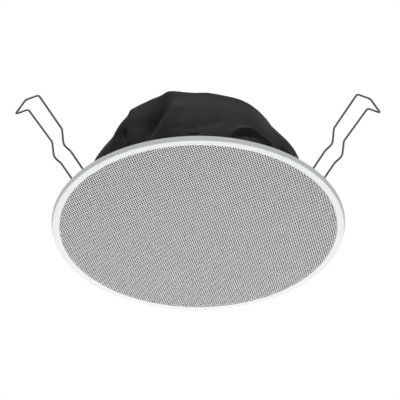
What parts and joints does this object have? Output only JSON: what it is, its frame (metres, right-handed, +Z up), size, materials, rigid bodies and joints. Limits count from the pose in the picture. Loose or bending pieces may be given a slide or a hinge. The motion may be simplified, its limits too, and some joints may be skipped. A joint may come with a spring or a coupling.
{
  "type": "in-ceiling speaker",
  "caption": "Round in-ceiling loudspeaker: white bezel with a fine perforated grille, driver under a black cloth dust bag, and sprung wire clamps that grip the ceiling board.",
  "frame": {"origin": "centre of the flange's back face, which lies against the ceiling", "axes": "+Z up into the ceiling void along the panel's axis; the grille faces -Z; clamp 1 is on +Y"},
  "size_m": [0.2816, 0.2731, 0.0933],
  "materials": {
    "white_moulding": "white moulded resin, satin",
    "white_steel": "white powder paint, satin",
    "scrim_cloth": "black open cloth",
    "bag_cloth": "black proofed cloth with a slight sheen",
    "spring_wire": "bright drawn spring wire",
    "zinc_steel": "zinc plated",
    "basket_steel": "black stoved paint",
    "surround_cloth": "coated cloth",
    "cone_paper": "pressed paper pulp",
    "cap_felt": "felt",
    "coil_copper": "enamelled copper on a paper former",
    "spider_cloth": "resin-dipped cloth",
    "ferrite": "bare ferrite",
    "phenolic": "phenolic paper board",
    "tag_brass": "tinned brass",
    "core_steel": "varnished laminations",
    "winding_tape": "yellow winding tape",
    "block_plastic": "black moulded block"
  },
  "bodies": {
    "panel": {"panel_frame": "white_moulding", "grille": "white_steel", "grille_scrim": "scrim_cloth", "bracket_rivets": "zinc_steel", "driver_basket": "basket_steel", "driver_screws": "zinc_steel", "surround": "surround_cloth", "spider": "spider_cloth", "top_plate": "zinc_steel", "magnet": "ferrite", "yoke": "zinc_steel", "tag_strip": "phenolic", "lead_tags": "tag_brass", "rear_strap": "zinc_steel", "strap_screws": "zinc_steel", "transformer_core": "core_steel", "transformer_winding": "winding_tape", "transformer_clip": "zinc_steel", "transformer_screws": "zinc_steel", "terminal_block": "block_plastic", "terminal_screws": "tag_brass", "dust_bag": "bag_cloth", "clamp_bracket_1": "zinc_steel", "clamp_bracket_2": "zinc_steel", "clamp_bracket_3": "zinc_steel"},
    "cone_assembly": {"cone": "cone_paper", "whizzer_cone": "cone_paper", "dust_cap": "cap_felt", "voice_coil": "coil_copper"},
    "clamp_1": {"spring_clamp_1": "spring_wire"},
    "clamp_2": {"spring_clamp_2": "spring_wire"},
    "clamp_3": {"spring_clamp_3": "spring_wire"}
  },
  "joints": [
    {"name": "clamp_1_fold", "type": "hinge", "parent": "panel", "child": "clamp_1", "pos_m": [0, 0.096, 0.00205], "axis": [1, 0, 0], "range_deg": [0, 48], "stiffness_Nm_per_rad": 0.15, "springref_deg": -17.19},
    {"name": "clamp_2_fold", "type": "hinge", "parent": "panel", "child": "clamp_2", "pos_m": [-0.08314, -0.048, 0.00205], "axis": [-0.5, 0.866, 0], "range_deg": [0, 48], "stiffness_Nm_per_rad": 0.15, "springref_deg": -17.19},
    {"name": "clamp_3_fold", "type": "hinge", "parent": "panel", "child": "clamp_3", "pos_m": [0.08314, -0.048, 0.00205], "axis": [-0.5, -0.866, 0], "range_deg": [0, 48], "stiffness_Nm_per_rad": 0.15, "springref_deg": -17.19},
    {"name": "cone_travel", "type": "slide", "parent": "panel", "child": "cone_assembly", "axis": [0, 0, 1], "range_m": [-0.0015, 0.0015], "stiffness_N_per_m": 1500, "deforming": ["surround", "spider"]}
  ]
}
